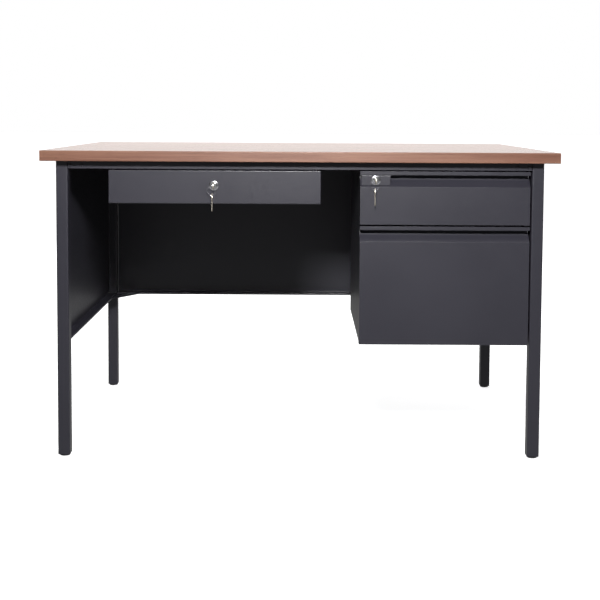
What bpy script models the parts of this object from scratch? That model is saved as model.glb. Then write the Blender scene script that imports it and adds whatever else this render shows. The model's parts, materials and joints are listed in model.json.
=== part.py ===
"""Teacher desk: a steel frame on four square legs, a wood-grain top and one drawer pedestal.

Metres, +Z up. The origin is on the floor under the middle of the top, and the front faces -Y.
"""

import math

import bmesh
import bpy
from mathutils import Vector

# Driving dimensions: the whole desk.
TOP_WIDTH = 1.2192
TOP_DEPTH = 0.7620
HEIGHT = 0.7366
TOP_THICKNESS = 0.0250
OVERHANG_FRONT = 0.0285
OVERHANG_SIDE = 0.03145
OVERHANG_REAR = 0.04445
LEG = 0.0286
LEG_WALL = 0.0015
LEG_RADIUS = 0.0030
FOOT_HEIGHT = 0.0042
SKIRT_BOTTOM = 0.2800

# Driving dimensions: the drawers.
PEDESTAL_LEFT = 0.1426
PEDESTAL_RIGHT = 0.5458
PEDESTAL_DEPTH = 0.4445
FRONT_DEPTH = 0.0240
DRAWERS_TOP = 0.6903
BOX_FRONT_BOTTOM = 0.5635
FILE_FRONT_TOP = 0.5595
FILE_FRONT_BOTTOM = 0.2758
CENTER_LEFT = -0.4537
CENTER_RIGHT = 0.0497
CENTER_BOTTOM = 0.6113
TRAY_BACK = 0.0600

# Sheet thicknesses and the clearance between touching pieces.
SHEET = 0.0012
RAIL_SHEET = 0.0015
TRAY_SHEET = 0.0010
GAP = 0.0003

# Pulls: the lip over the recess, the recess itself and the bend halfway down its back.
PULL_LIP = 0.0087
PULL_OPENING = 0.0280
PULL_BEND = 0.0105
PULL_DEPTH = 0.0205

# Locks and keys.
CENTER_LOCK = (-0.2040, 0.6545)
BOX_LOCK = (0.1797, 0.6688)
LOCK_PLATE_LEFT = 0.1458
LOCK_PLATE_RIGHT = 0.2142
LOCK_PLATE_BOTTOM = 0.6572
BARREL_RADIUS = 0.0095
BORE_RADIUS = 0.0065
COLLAR_RADIUS = 0.0115
COLLAR_HEIGHT = 0.0022
BARREL_DEPTH = 0.0300
PLUG_RADIUS = 0.0062
KEY_BOW = 0.0090
KEY_HOLE = 0.0030
KEY_HOLE_OFFSET = 0.0035
KEY_BLADE = 0.0240
KEY_WIDTH = 0.0064
KEY_THICKNESS = 0.0020
RING_RADIUS = 0.0110
RING_WIRE = 0.0008
RING_LEAN = math.radians(15.0)

# Places worked out from the driving dimensions.
LEG_X = TOP_WIDTH / 2 - OVERHANG_SIDE
INNER_X = LEG_X - LEG
FRONT_Y = -TOP_DEPTH / 2 + OVERHANG_FRONT
REAR_Y = TOP_DEPTH / 2 - OVERHANG_REAR
TOP_UNDERSIDE = HEIGHT - TOP_THICKNESS
FRAME_TOP = TOP_UNDERSIDE - GAP
LEG_BOTTOM = FOOT_HEIGHT + GAP
CASE_FRONT = FRONT_Y + FRONT_DEPTH + 2 * GAP
CASE_BACK = FRONT_Y + PEDESTAL_DEPTH
CASE_LEFT = PEDESTAL_LEFT + 0.0008
CASE_RIGHT = PEDESTAL_RIGHT - 0.0006
CASE_MIDDLE = (CASE_LEFT + CASE_RIGHT) / 2
CASE_BOTTOM = FILE_FRONT_BOTTOM + 0.0012
CASE_TOP = DRAWERS_TOP + 0.0022
SLIDE_ROOM = 0.0141


def clear_scene():
    for obj in list(bpy.data.objects):
        bpy.data.objects.remove(obj, do_unlink=True)


def new_collection(name):
    collection = bpy.data.collections.new(name)
    bpy.context.scene.collection.children.link(collection)
    return collection


def new_material(name, colour, metallic, roughness):
    material = bpy.data.materials.new(name)
    material.use_nodes = True
    shader = material.node_tree.nodes["Principled BSDF"]
    shader.inputs["Base Color"].default_value = (*colour, 1.0)
    shader.inputs["Metallic"].default_value = metallic
    shader.inputs["Roughness"].default_value = roughness
    return material


clear_scene()
PARTS = new_collection("teacher_desk")
CUTTERS = new_collection("cutters")

STEEL_PAINT = new_material("charcoal_paint", (0.085, 0.083, 0.095), 0.0, 0.45)
BOARD = new_material("laminated_board", (0.62, 0.55, 0.50), 0.0, 0.40)
EDGE_BAND = new_material("wood_edge_band", (0.40, 0.23, 0.16), 0.0, 0.45)
CHROME = new_material("chrome", (0.75, 0.75, 0.77), 1.0, 0.15)
ZINC = new_material("zinc_plate", (0.55, 0.56, 0.58), 1.0, 0.35)
NICKEL = new_material("nickel_key", (0.62, 0.58, 0.50), 1.0, 0.28)
NYLON = new_material("black_nylon", (0.015, 0.015, 0.016), 0.0, 0.50)


def moving_body(name, at):
    """An empty on a joint's axis, which the pieces that move there are parented to."""
    empty = bpy.data.objects.new(name, None)
    empty.empty_display_size = 0.03
    empty.location = at
    PARTS.objects.link(empty)
    return empty


def add_part(name, mesh, look, at, body=None):
    """Put a mesh into the model at a place in the world, on a moving body if it has one."""
    obj = bpy.data.objects.new(name, mesh)
    obj.data.materials.append(look)
    PARTS.objects.link(obj)
    obj.location = Vector(at)
    if body:
        obj.parent = body
        obj.location -= body.location
    return obj


def mesh_from(bm, name):
    mesh = bpy.data.meshes.new(name)
    bm.normal_update()
    bm.to_mesh(mesh)
    bm.free()
    return mesh


def cube_mesh(low, high):
    """A bmesh box around its own middle, and that middle."""
    low, high = Vector(low), Vector(high)
    bm = bmesh.new()
    bmesh.ops.create_cube(bm, size=1.0)
    bmesh.ops.scale(bm, vec=high - low, verts=bm.verts)
    return bm, (low + high) / 2


def thicken(obj, thickness):
    """Give an open sheet its thickness, on the side away from its faces' normals."""
    shell = obj.modifiers.new("sheet", "SOLIDIFY")
    shell.thickness = thickness
    shell.offset = -1.0
    shell.use_even_offset = True
    shell.use_rim = True


def block(name, low, high, look, body=None):
    bm, middle = cube_mesh(low, high)
    return add_part(name, mesh_from(bm, name), look, middle, body)


def cutter(name, mesh, at, turn=(0.0, 0.0, 0.0)):
    obj = bpy.data.objects.new(name, mesh)
    obj.location = at
    obj.rotation_euler = turn
    obj.hide_render = True
    obj.display_type = "WIRE"
    CUTTERS.objects.link(obj)
    return obj


def cut(obj, tool):
    boolean = obj.modifiers.new("cut", "BOOLEAN")
    boolean.operation = "DIFFERENCE"
    boolean.solver = "EXACT"
    boolean.object = tool


def round_cutter(name, radius, length, at, turn=(0.0, 0.0, 0.0)):
    bm = bmesh.new()
    bmesh.ops.create_cone(bm, cap_ends=True, segments=20, radius1=radius, radius2=radius, depth=length)
    return cutter(name, mesh_from(bm, name), at, turn)


def profile_point(along, across, place):
    """A point of a profile: its two coordinates across the sheet, and its place along it."""
    if along == "X":
        return Vector((place, across[0], across[1]))
    if along == "Y":
        return Vector((across[0], place, across[1]))
    return Vector((across[0], across[1], place))


def folded_sheet(name, profile, along, low, high, thickness, outside, look, body=None):
    """Sheet metal folded to a profile. outside is the way that its first face looks."""
    points = [profile_point(along, across, low) for across in profile]
    middle = sum(points, Vector()) / len(points)
    bm = bmesh.new()
    verts = [bm.verts.new(point - middle) for point in points]
    edges = [bm.edges.new(pair) for pair in zip(verts, verts[1:])]
    grown = bmesh.ops.extrude_edge_only(bm, edges=edges)["geom"]
    far = [item for item in grown if isinstance(item, bmesh.types.BMVert)]
    step = profile_point(along, (0.0, 0.0), high - low)
    bmesh.ops.translate(bm, vec=step, verts=far)
    bm.normal_update()
    first = next(face for face in edges[0].link_faces)
    if first.normal.dot(Vector(outside)) < 0.0:
        bmesh.ops.reverse_faces(bm, faces=bm.faces)
    obj = add_part(name, mesh_from(bm, name), look, middle, body)
    thicken(obj, thickness)
    return obj


def front_pan(name, outline, left, right, back, body):
    """A drawer front: an outline in Y and Z, run from left to right and left open at the back."""
    bm = bmesh.new()
    middle = Vector(((left + right) / 2, back, outline[0][1]))
    verts = [bm.verts.new(Vector((left, y, z)) - middle) for y, z in outline]
    end = bm.faces.new(verts)
    grown = bmesh.ops.extrude_face_region(bm, geom=[end])["geom"]
    far = [item for item in grown if isinstance(item, bmesh.types.BMVert)]
    bmesh.ops.translate(bm, vec=Vector((right - left, 0.0, 0.0)), verts=far)
    bmesh.ops.recalc_face_normals(bm, faces=bm.faces)
    rear = [face for face in bm.faces if face.normal.y > 0.99 and face.calc_center_median().y > -1e-6]
    bmesh.ops.delete(bm, geom=rear, context="FACES")
    obj = add_part(name, mesh_from(bm, name), STEEL_PAINT, middle, body)
    thicken(obj, SHEET)
    return obj


def tray(name, low, high, body):
    """A drawer body: an open box of thin sheet."""
    bm, middle = cube_mesh(low, high)
    lid = [face for face in bm.faces if face.calc_center_median().z > (high[2] - low[2]) / 2 - 1e-6]
    bmesh.ops.delete(bm, geom=lid, context="FACES_ONLY")
    obj = add_part(name, mesh_from(bm, name), STEEL_PAINT, middle, body)
    thicken(obj, TRAY_SHEET)
    return obj


def turned(name, profile, look, at, body=None, turn=(0.0, 0.0, 0.0), steps=20, closed=False):
    """A piece turned about its own Z: radius and height of each point, top to bottom."""
    mesh = bpy.data.meshes.new(name)
    count = len(profile)
    edges = [(index, index + 1) for index in range(count - 1)]
    if closed:
        edges.append((count - 1, 0))
    mesh.from_pydata([(radius, 0.0, height) for radius, height in profile], edges, [])
    obj = add_part(name, mesh, look, at, body)
    obj.rotation_euler = turn
    screw = obj.modifiers.new("turn", "SCREW")
    screw.axis = "Z"
    screw.angle = 2 * math.pi
    screw.steps = steps
    screw.render_steps = steps
    screw.use_merge_vertices = True
    screw.merge_threshold = 0.00001
    return obj


# The top.

def make_top():
    band = 0.0028
    half_x = TOP_WIDTH / 2
    half_y = TOP_DEPTH / 2
    low, high = TOP_UNDERSIDE, HEIGHT
    core_x = half_x - band - GAP
    core_y = half_y - band - GAP
    block("desktop_panel", (-core_x, -core_y, low), (core_x, core_y, high), BOARD)
    block("edge_band_front", (-half_x, -half_y, low), (half_x, -half_y + band, high), EDGE_BAND)
    block("edge_band_rear", (-half_x, half_y - band, low), (half_x, half_y, high), EDGE_BAND)
    for side, name in ((-1, "edge_band_left"), (1, "edge_band_right")):
        near, far = sorted((side * half_x, side * (half_x - band)))
        block(name, (near, -core_y, low), (far, core_y, high), EDGE_BAND)


# The frame.

def make_leg(place, x, y):
    """A square tube, closed at its foot by a plate with the leveler's threaded hole."""
    name = "leg_" + place
    low = (x - LEG / 2, y - LEG / 2, LEG_BOTTOM)
    high = (x + LEG / 2, y + LEG / 2, FRAME_TOP)
    bm, middle = cube_mesh(low, high)
    upright = [edge for edge in bm.edges if abs(edge.verts[0].co.z - edge.verts[1].co.z) > LEG]
    bmesh.ops.bevel(bm, geom=upright, offset=LEG_RADIUS, segments=3, profile=0.5, affect="EDGES")
    bm.normal_update()
    top = [face for face in bm.faces if face.normal.z > 0.99]
    bmesh.ops.delete(bm, geom=top, context="FACES_ONLY")
    leg = add_part(name, mesh_from(bm, name), STEEL_PAINT, middle)
    thicken(leg, LEG_WALL)
    cut(leg, round_cutter("bore_" + name, 0.0043, 0.02, (x, y, LEG_BOTTOM)))


def make_leveler(place, x, y):
    """A nylon foot on a threaded stud that screws into the leg."""
    radius, stud = 0.0125, 0.0040
    foot = moving_body("leveler_" + place + "_axis", (x, y, 0.0))
    profile = [
        (0.0, 0.0290),
        (stud, 0.0290),
        (stud, FOOT_HEIGHT),
        (radius - 0.0015, FOOT_HEIGHT),
        (radius, FOOT_HEIGHT - 0.0015),
        (radius, 0.0015),
        (radius - 0.0015, 0.0),
        (0.0, 0.0),
    ]
    turned("leveler_" + place, profile, NYLON, (x, y, 0.0), foot)


def make_legs():
    leg_x = LEG_X - LEG / 2
    for depth, y in (("front", FRONT_Y + LEG / 2), ("rear", REAR_Y - LEG / 2)):
        for side, x in (("left", -leg_x), ("right", leg_x)):
            make_leg(depth + "_" + side, x, y)
            make_leveler(depth + "_" + side, x, y)


def make_skirt():
    """The front rail, the side panels and the modesty panel, each folded from one sheet."""
    flange = 0.0053
    low = SKIRT_BOTTOM
    end_x = INNER_X - GAP
    rail_front, rail_back = FRONT_Y + 0.0002, FRONT_Y + LEG
    rail_low = DRAWERS_TOP + 0.0030
    rail = [(rail_front, rail_low), (rail_front, FRAME_TOP), (rail_back, FRAME_TOP), (rail_back, rail_low)]
    folded_sheet("front_rail", rail, "X", -end_x, end_x, RAIL_SHEET, (0, -1, 0), STEEL_PAINT)

    sheet_y, lip_y = REAR_Y - 0.0060, REAR_Y - LEG
    panel = [
        (lip_y, low),
        (lip_y, low + flange),
        (sheet_y, low + flange),
        (sheet_y, FRAME_TOP - SHEET),
        (lip_y, FRAME_TOP - SHEET),
    ]
    folded_sheet("modesty_panel", panel, "X", -end_x, end_x, SHEET, (0, -1, 0), STEEL_PAINT)

    near_y, far_y = FRONT_Y + LEG + GAP, REAR_Y - LEG - GAP
    for side, name in ((-1, "side_panel_left"), (1, "side_panel_right")):
        lip_x, sheet_x = side * INNER_X, side * (LEG_X - 0.0045)
        panel = [
            (lip_x, low),
            (lip_x, low + flange),
            (sheet_x, low + flange),
            (sheet_x, FRAME_TOP - SHEET),
            (lip_x, FRAME_TOP - SHEET),
        ]
        folded_sheet(name, panel, "Y", near_y, far_y, SHEET, (-side, 0, 0), STEEL_PAINT)
        make_gusset(side)


def make_gusset(side):
    """A flat triangle that ties the side panel to the modesty panel at the bottom corner."""
    reach_x, reach_y = 0.066, 0.090
    corner = (side * (INNER_X - GAP), REAR_Y - LEG - GAP)
    outline = [
        (0.0, 0.0),
        (-side * reach_x, 0.0),
        (0.0, -reach_y),
    ]
    curve = bpy.data.curves.new("gusset_outline", "CURVE")
    curve.dimensions = "2D"
    curve.fill_mode = "BOTH"
    curve.extrude = RAIL_SHEET / 2
    spline = curve.splines.new("POLY")
    spline.points.add(len(outline) - 1)
    for point, (x, y) in zip(spline.points, outline):
        point.co = (x, y, 0.0, 1.0)
    spline.use_cyclic_u = True
    name = "corner_gusset_" + ("left" if side < 0 else "right")
    add_part(name, curve, STEEL_PAINT, (*corner, SKIRT_BOTTOM + RAIL_SHEET / 2))


# The pedestal's case and the fixed halves of the slides.

def make_case():
    back = CASE_BACK - SHEET - GAP
    fold = 0.0040
    for side, x, name in ((1, CASE_LEFT, "pedestal_side_left"), (-1, CASE_RIGHT, "pedestal_side_right")):
        profile = [(x + side * fold, CASE_FRONT), (x, CASE_FRONT), (x, back)]
        folded_sheet(name, profile, "Z", CASE_BOTTOM, CASE_TOP, SHEET, (0, -1, 0), STEEL_PAINT)
    low = (CASE_LEFT, CASE_BACK - SHEET, CASE_BOTTOM)
    high = (CASE_RIGHT, CASE_BACK, CASE_TOP)
    block("pedestal_back", low, high, STEEL_PAINT)

    left, right = CASE_LEFT + SHEET + GAP, CASE_RIGHT - SHEET - GAP
    front = CASE_FRONT + SHEET + GAP
    tray_back = back - GAP
    floor = [
        (front, CASE_BOTTOM + 0.006),
        (front, CASE_BOTTOM),
        (tray_back, CASE_BOTTOM),
        (tray_back, CASE_BOTTOM + 0.006),
    ]
    folded_sheet("pedestal_bottom", floor, "X", left, right, SHEET, (0, -1, 0), STEEL_PAINT)
    rail = [(front, CASE_TOP), (front + 0.030, CASE_TOP), (front + 0.030, CASE_TOP - 0.008)]
    folded_sheet("pedestal_top_rail", rail, "X", left, right, RAIL_SHEET, (0, 0, 1), STEEL_PAINT)


def slide_channel(name, side, web, lips, height, middle_z, near, far, body=None):
    """A slide's C channel. web and lips are distances from the case's side, into the case."""
    edge = CASE_LEFT if side < 0 else CASE_RIGHT
    inward = -side
    web_x, lips_x = edge + inward * web, edge + inward * lips
    half = height / 2
    profile = [
        (lips_x, middle_z + half),
        (web_x, middle_z + half),
        (web_x, middle_z - half),
        (lips_x, middle_z - half),
    ]
    return folded_sheet(name, profile, "Y", near, far, SHEET, (0, 0, 1), ZINC, body)


def make_center_hangers(tray_left, tray_right, flange_z):
    """Sheet hooks under the top, which carry the center drawer by its side flanges."""
    near, far = FRONT_Y + LEG + 0.003, TRAY_BACK + 0.010
    for side, wall, name in (
        (-1, tray_left, "center_drawer_hanger_left"),
        (1, tray_right, "center_drawer_hanger_right"),
    ):
        out = wall + side * 0.0125
        top = TOP_UNDERSIDE - GAP - SHEET
        hook = flange_z - GAP
        profile = [(wall + side * 0.0020, hook), (out, hook), (out, top), (wall - side * 0.010, top)]
        folded_sheet(name, profile, "Y", near, far, SHEET, (0, 0, 1), ZINC)


# Locks, keys and their rings.

def key_outline():
    """The outline of a key in its own plane: the hole at the origin, the blade along +X."""
    half = KEY_WIDTH / 2
    centre = KEY_HOLE_OFFSET
    start = math.asin(half / KEY_BOW)
    count = 18
    turn = (2 * math.pi - 2 * start) / count
    bow = []
    for step in range(count + 1):
        angle = start + step * turn
        bow.append((centre + KEY_BOW * math.cos(angle), KEY_BOW * math.sin(angle)))
    tip = centre + KEY_BOW + KEY_BLADE
    pitch = 0.0045
    blade = [(tip - 0.002, -half), (tip, -half + 0.002), (tip - 0.002, half)]
    for step in range(1, 4):
        notch = tip - step * pitch
        blade.extend([(notch + 0.0012, half), (notch, half - 0.0014), (notch - 0.0012, half)])
    return bow + blade


def key_mesh(name):
    curve = bpy.data.curves.new(name, "CURVE")
    curve.dimensions = "2D"
    curve.fill_mode = "BOTH"
    curve.extrude = KEY_THICKNESS / 2
    hole = []
    for step in range(14):
        angle = 2 * math.pi * step / 14
        hole.append((KEY_HOLE * math.cos(angle), KEY_HOLE * math.sin(angle)))
    for outline in (key_outline(), hole):
        spline = curve.splines.new("POLY")
        spline.points.add(len(outline) - 1)
        for point, (x, y) in zip(spline.points, outline):
            point.co = (x, y, 0.0, 1.0)
        spline.use_cyclic_u = True
    return curve


def make_lock(prefix, x, z, face, drawer):
    """A cam lock in a drawer front: barrel, plug, cam and key, with a spare key on a ring."""
    towards_front = (math.radians(90.0), 0.0, 0.0)
    barrel = [
        (BORE_RADIUS, COLLAR_HEIGHT),
        (COLLAR_RADIUS - 0.001, COLLAR_HEIGHT),
        (COLLAR_RADIUS, COLLAR_HEIGHT - 0.001),
        (COLLAR_RADIUS, GAP),
        (BARREL_RADIUS, GAP),
        (BARREL_RADIUS, GAP - BARREL_DEPTH),
        (BORE_RADIUS, GAP - BARREL_DEPTH),
    ]
    turned(prefix + "_lock_barrel", barrel, CHROME, (x, face, z), drawer, towards_front, closed=True)

    plug_front = COLLAR_HEIGHT + 0.0008
    plug_back = -BARREL_DEPTH - 0.0010
    axis = moving_body(prefix + "_lock_axis", (x, face, z))
    profile = [(0.0, plug_front), (PLUG_RADIUS, plug_front), (PLUG_RADIUS, plug_back), (0.0, plug_back)]
    plug = turned(prefix + "_lock_plug", profile, CHROME, (x, face, z), axis, towards_front)
    slot_depth = KEY_BLADE
    bm, middle = cube_mesh(
        (x - KEY_THICKNESS / 2 - GAP, face - plug_front - 0.001, z - KEY_WIDTH / 2 - GAP),
        (x + KEY_THICKNESS / 2 + GAP, face - plug_front + slot_depth + GAP, z + KEY_WIDTH / 2 + GAP),
    )
    cut(plug, cutter(prefix + "_keyway", mesh_from(bm, "keyway"), middle))

    cam_near = face - plug_back + GAP
    block(
        prefix + "_lock_cam",
        (x - 0.0180, cam_near, z - 0.0045),
        (x + 0.0060, cam_near + 0.0020, z + 0.0045),
        ZINC,
        axis,
    )

    hole_y = face - plug_front - 0.0006 - KEY_BOW - KEY_HOLE_OFFSET
    quarter = math.radians(90.0)
    key = add_part(prefix + "_key", key_mesh(prefix + "_key"), NICKEL, (x, hole_y, z), axis)
    key.rotation_euler = (quarter, 0.0, quarter)
    make_ring(prefix, x, hole_y, z)


def make_ring(prefix, x, y, z):
    """The ring through the key's bow, leaning to one side of it, and the spare key below."""
    pivot = moving_body(prefix + "_ring_axis", (x, y, z))
    ring_x = x - RING_RADIUS * math.sin(RING_LEAN)
    ring_z = z - RING_RADIUS * math.cos(RING_LEAN)
    bpy.ops.mesh.primitive_torus_add(
        major_radius=RING_RADIUS,
        minor_radius=RING_WIRE,
        major_segments=24,
        minor_segments=6,
    )
    template = bpy.context.active_object
    mesh = template.data
    bpy.data.objects.remove(template)
    mesh.name = prefix + "_key_ring"
    ring = add_part(prefix + "_key_ring", mesh, CHROME, (ring_x, y, ring_z), pivot)
    ring.rotation_euler = (math.radians(90.0), 0.0, 0.0)

    hang_z = ring_z - RING_RADIUS - (KEY_HOLE - RING_WIRE) + 2 * GAP
    swing = moving_body(prefix + "_spare_axis", (ring_x, y, hang_z + KEY_HOLE - RING_WIRE))
    spare = add_part(
        prefix + "_spare_key",
        key_mesh(prefix + "_spare_key"),
        NICKEL,
        (ring_x, y, hang_z),
        swing,
    )
    spare.rotation_euler = (0.0, math.radians(90.0), 0.0)


# The drawers.

def pull_outline(top, bottom):
    """A drawer front with a full-width pull: lip, recess, sloping back and face, in Y and Z."""
    face = FRONT_Y
    back = FRONT_Y + FRONT_DEPTH
    ceiling = top - PULL_LIP
    recess = face + PULL_DEPTH
    return [
        (back, top),
        (face, top),
        (face, ceiling),
        (recess, ceiling),
        (recess, ceiling - PULL_BEND),
        (face, ceiling - PULL_OPENING),
        (face, bottom),
        (back, bottom),
    ]


def make_center_drawer():
    drawer = moving_body("center_drawer_axis", ((CENTER_LEFT + CENTER_RIGHT) / 2, FRONT_Y, 0.65))
    back = FRONT_Y + FRONT_DEPTH
    outline = [
        (back, DRAWERS_TOP),
        (FRONT_Y, DRAWERS_TOP),
        (FRONT_Y, CENTER_BOTTOM),
        (back, CENTER_BOTTOM),
    ]
    front = front_pan("center_drawer_front", outline, CENTER_LEFT, CENTER_RIGHT, back, drawer)
    side_room = 0.0177
    left, right = CENTER_LEFT + side_room, CENTER_RIGHT - side_room
    flange_z = 0.6680
    tray_front = back + 2 * GAP
    low = (left, tray_front, CENTER_BOTTOM + 0.006)
    high = (right, TRAY_BACK, flange_z)
    body = tray("center_drawer_tray", low, high, drawer)
    for side, wall, name in (
        (-1, left, "center_drawer_runner_left"),
        (1, right, "center_drawer_runner_right"),
    ):
        near, far = wall + side * (GAP + TRAY_SHEET), wall + side * 0.0100
        profile = [(near, flange_z - 0.012), (near, flange_z), (far, flange_z)]
        outside = (side, 0, 0)
        folded_sheet(name, profile, "Y", tray_front, TRAY_BACK, TRAY_SHEET, outside, STEEL_PAINT, drawer)
    make_center_hangers(left, right, flange_z)

    x, z = CENTER_LOCK
    across = (math.radians(90.0), 0.0, 0.0)
    hole = round_cutter("center_lock_hole", BARREL_RADIUS + GAP, 0.070, (x, FRONT_Y, z), across)
    cut(front, hole)
    cut(body, hole)
    make_lock("center", x, z, FRONT_Y, drawer)


def pedestal_tray(name, bottom, top, drawer):
    low = (CASE_LEFT + SLIDE_ROOM, FRONT_Y + FRONT_DEPTH + 2 * GAP, bottom)
    high = (CASE_RIGHT - SLIDE_ROOM, TRAY_BACK, top)
    return tray(name, low, high, drawer)


def make_box_drawer():
    drawer = moving_body("box_drawer_axis", (CASE_MIDDLE, FRONT_Y, 0.62))
    outline = pull_outline(DRAWERS_TOP, BOX_FRONT_BOTTOM)
    back = FRONT_Y + FRONT_DEPTH
    front = front_pan("box_drawer_front", outline, PEDESTAL_LEFT, PEDESTAL_RIGHT, back, drawer)
    pedestal_tray("box_drawer_tray", BOX_FRONT_BOTTOM + 0.0065, 0.6550, drawer)

    plate_face = FRONT_Y + 0.0020
    shelf = DRAWERS_TOP - PULL_LIP - GAP
    profile = [(plate_face, LOCK_PLATE_BOTTOM), (plate_face, shelf), (FRONT_Y + 0.0190, shelf)]
    plate = folded_sheet(
        "box_lock_plate",
        profile,
        "X",
        LOCK_PLATE_LEFT,
        LOCK_PLATE_RIGHT,
        RAIL_SHEET,
        (0, -1, 0),
        STEEL_PAINT,
        drawer,
    )
    x, z = BOX_LOCK
    across = (math.radians(90.0), 0.0, 0.0)
    hole = round_cutter("box_lock_hole", BARREL_RADIUS + GAP, 0.070, (x, FRONT_Y, z), across)
    cut(front, hole)
    cut(plate, hole)
    make_lock("box", x, z, plate_face, drawer)

    near = CASE_FRONT + SHEET + 0.002
    for side, place in ((-1, "left"), (1, "right")):
        slide_channel("box_slide_case_" + place, side, 0.0016, 0.0110, 0.040, 0.600, near, TRAY_BACK + 0.02)
        slide_channel(
            "box_slide_drawer_" + place, side, 0.0138, 0.0050, 0.032, 0.600, near, TRAY_BACK - 0.01, drawer
        )


def make_file_drawer():
    drawer = moving_body("file_drawer_axis", (CASE_MIDDLE, FRONT_Y, 0.42))
    middle = moving_body("file_slide_middle_axis", (CASE_MIDDLE, FRONT_Y, 0.38))
    outline = pull_outline(FILE_FRONT_TOP, FILE_FRONT_BOTTOM)
    back = FRONT_Y + FRONT_DEPTH
    front_pan("file_drawer_front", outline, PEDESTAL_LEFT, PEDESTAL_RIGHT, back, drawer)
    pedestal_tray("file_drawer_tray", FILE_FRONT_BOTTOM + 0.010, 0.5050, drawer)

    near = CASE_FRONT + SHEET + 0.002
    for side, place in ((-1, "left"), (1, "right")):
        slide_channel("file_slide_case_" + place, side, 0.0016, 0.0125, 0.046, 0.380, near, TRAY_BACK + 0.02)
        slide_channel(
            "file_slide_middle_" + place, side, 0.0047, 0.0125, 0.038, 0.380, near, TRAY_BACK, middle
        )
        slide_channel(
            "file_slide_drawer_" + place, side, 0.0138, 0.0070, 0.029, 0.380, near, TRAY_BACK - 0.01, drawer
        )


make_top()
make_legs()
make_skirt()
make_case()
make_center_drawer()
make_box_drawer()
make_file_drawer()
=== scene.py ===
"""Looks of the teacher desk: bent sheet metal, wood-grain top, locks, keys, materials and light."""

import json
import math

import bmesh
import bpy
from mathutils import Euler, Matrix, Vector


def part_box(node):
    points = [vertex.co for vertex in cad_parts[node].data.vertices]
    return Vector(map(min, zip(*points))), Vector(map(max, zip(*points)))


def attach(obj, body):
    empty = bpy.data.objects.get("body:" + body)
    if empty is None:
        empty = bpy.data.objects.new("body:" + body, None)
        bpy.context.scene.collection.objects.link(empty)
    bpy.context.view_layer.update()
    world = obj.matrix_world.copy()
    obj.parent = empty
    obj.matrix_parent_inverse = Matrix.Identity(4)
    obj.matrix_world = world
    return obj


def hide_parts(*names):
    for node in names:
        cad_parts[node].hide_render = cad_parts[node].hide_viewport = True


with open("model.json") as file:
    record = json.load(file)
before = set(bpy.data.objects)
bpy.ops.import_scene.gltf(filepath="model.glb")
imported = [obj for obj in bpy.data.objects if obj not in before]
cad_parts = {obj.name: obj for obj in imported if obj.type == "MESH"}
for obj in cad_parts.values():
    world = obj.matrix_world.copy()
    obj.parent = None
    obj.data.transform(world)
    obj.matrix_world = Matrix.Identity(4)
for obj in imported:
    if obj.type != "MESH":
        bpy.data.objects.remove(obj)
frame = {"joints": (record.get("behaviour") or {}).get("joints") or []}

JOINTS = {joint["name"]: joint for joint in frame["joints"]}
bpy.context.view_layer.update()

# Sheet metal: three gauges, bend radius and how finely a bend is cut.
SHEET = 0.0012
HEAVY_SHEET = 0.0015
TRAY_SHEET = 0.0010
BEND = 0.0022
BEND_STEPS = 5
EDGE_ROUND = 0.0004

# Limits for finding vertices that share a place and faces that look along an axis.
SAME_PLACE = 1e-6
FACING = 0.99

# Faces that meet at less than this angle are shaded as one surface.
SMOOTH_BELOW = math.radians(38.0)

# The legs' corner round, and the radius of the hole in each foot plate.
LEG_CORNER = 0.0034
STUD_BORE = 0.0043

# The radius of the holes that the lock barrels pass through, and how far back each barrel's nut sits.
LOCK_HOLE = 0.0098
NUT_SETBACK = {"center": 0.0270, "box": 0.0215}

# The drawers' pulls: lip, opening, straight part of the back, depth, and round of the inner bend.
PULL_LIP = 0.0087
PULL_OPENING = 0.0280
PULL_BEND = 0.0080
PULL_DEPTH = 0.0205
SCOOP = 0.0077


# Materials: every one is built from noise in the object's own coordinates, which are metres.

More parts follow.
